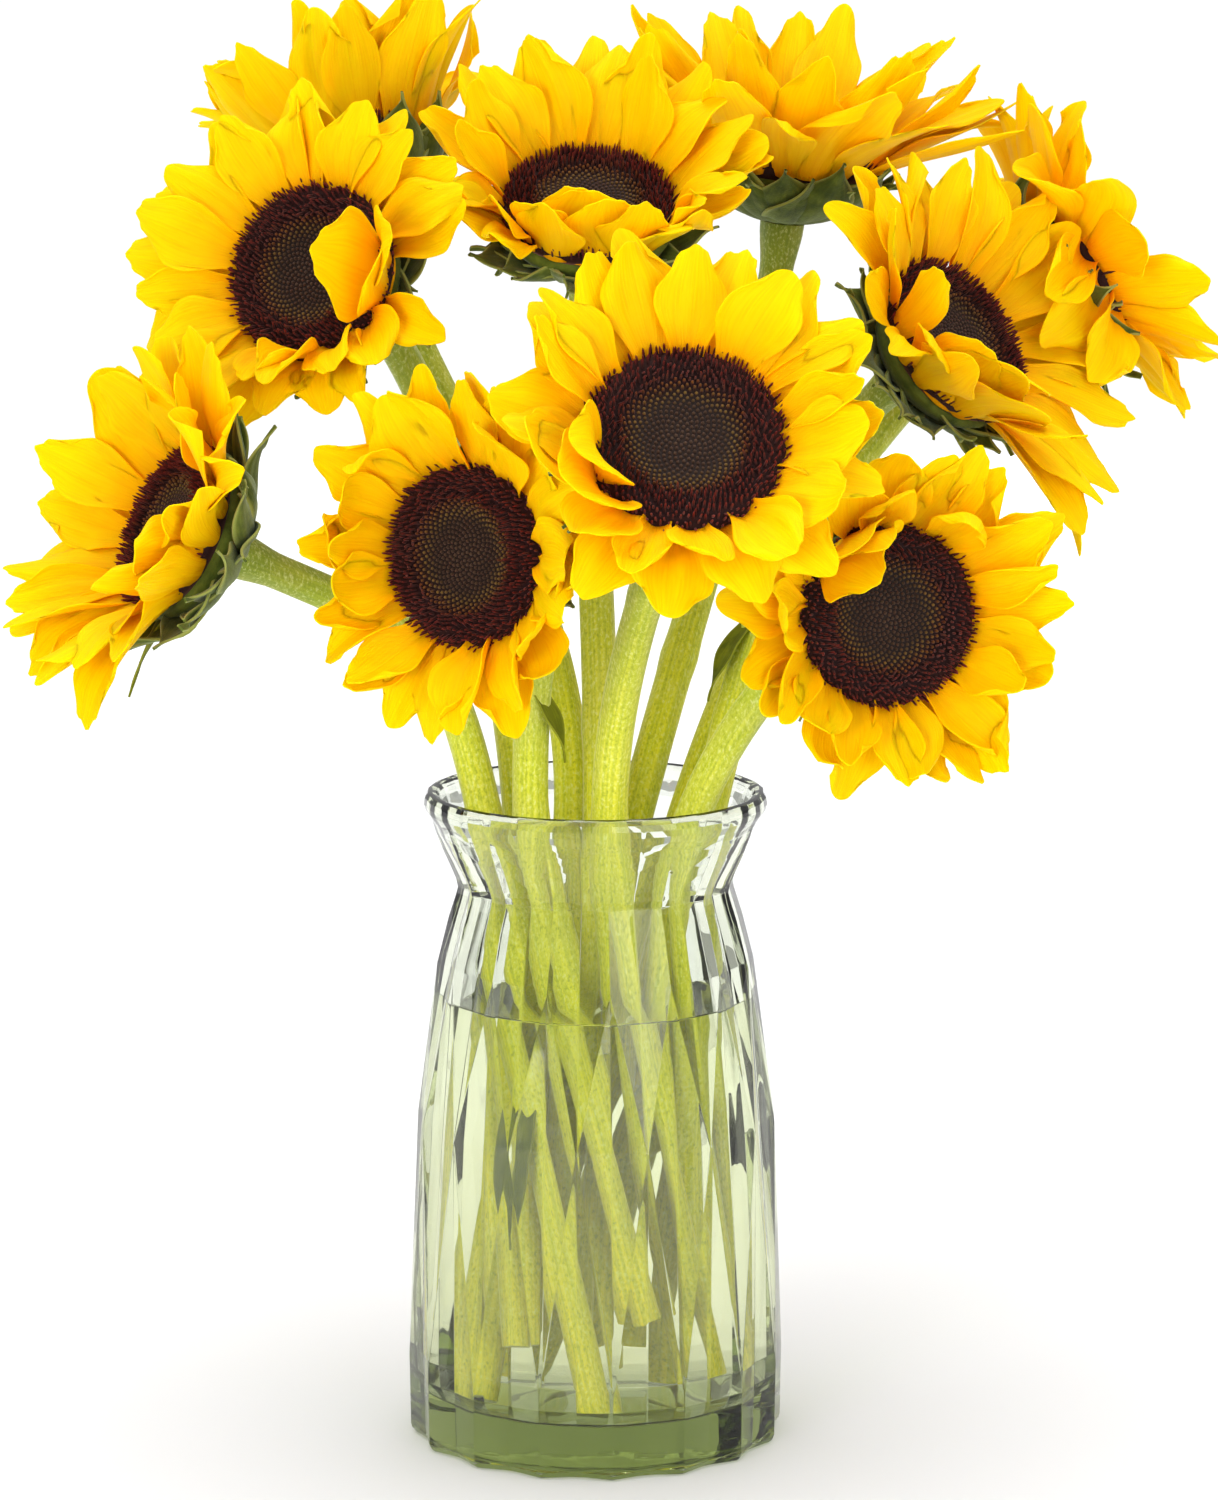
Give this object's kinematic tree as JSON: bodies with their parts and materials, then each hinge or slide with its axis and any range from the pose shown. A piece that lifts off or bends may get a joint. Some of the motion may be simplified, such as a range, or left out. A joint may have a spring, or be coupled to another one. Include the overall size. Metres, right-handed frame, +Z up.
{
  "type": "sunflowers in a vase",
  "caption": "Cut sunflowers with long stems standing in a clear pressed-glass vase with a flared mouth, part filled with water.",
  "frame": {"origin": "centre of the vase's flat underside, on the vase's axis", "axes": "+Z up along the vase's axis, -Y towards the front of the bouquet, +X to the right seen from the front"},
  "size_m": [0.3636, 0.2895, 0.4332],
  "materials": {
    "glass": "clear pressed glass with a pale green tint",
    "water": "clear water",
    "petal": "soft satin yellow, deeper at the base",
    "disc": "matt dark maroon florets round a brown centre",
    "calyx": "matt hairy green",
    "stem": "satin yellow-green with fine hairs",
    "leaf": "matt green"
  },
  "bodies": {
    "root": {"vase": "glass", "water": "water", "far_left_stem": "stem", "far_left_disc": "disc", "far_left_calyx": "calyx", "far_left_petals": "petal", "upper_left_stem": "stem", "upper_left_disc": "disc", "upper_left_calyx": "calyx", "upper_left_petals": "petal", "top_stem": "stem", "top_disc": "disc", "top_calyx": "calyx", "top_petals": "petal", "centre_stem": "stem", "centre_disc": "disc", "centre_calyx": "calyx", "centre_petals": "petal", "lower_left_stem": "stem", "lower_left_disc": "disc", "lower_left_calyx": "calyx", "lower_left_petals": "petal", "lower_right_stem": "stem", "lower_right_disc": "disc", "lower_right_calyx": "calyx", "lower_right_petals": "petal", "upper_right_stem": "stem", "upper_right_disc": "disc", "upper_right_calyx": "calyx", "upper_right_petals": "petal", "back_left_stem": "stem", "back_left_disc": "disc", "back_left_calyx": "calyx", "back_left_petals": "petal", "back_right_stem": "stem", "back_right_disc": "disc", "back_right_calyx": "calyx", "back_right_petals": "petal", "far_right_stem": "stem", "far_right_disc": "disc", "far_right_calyx": "calyx", "far_right_petals": "petal", "leaf_far_left": "leaf", "leaf_left": "leaf", "leaf_right": "leaf", "leaf_in_water": "leaf"}
  },
  "joints": []
}
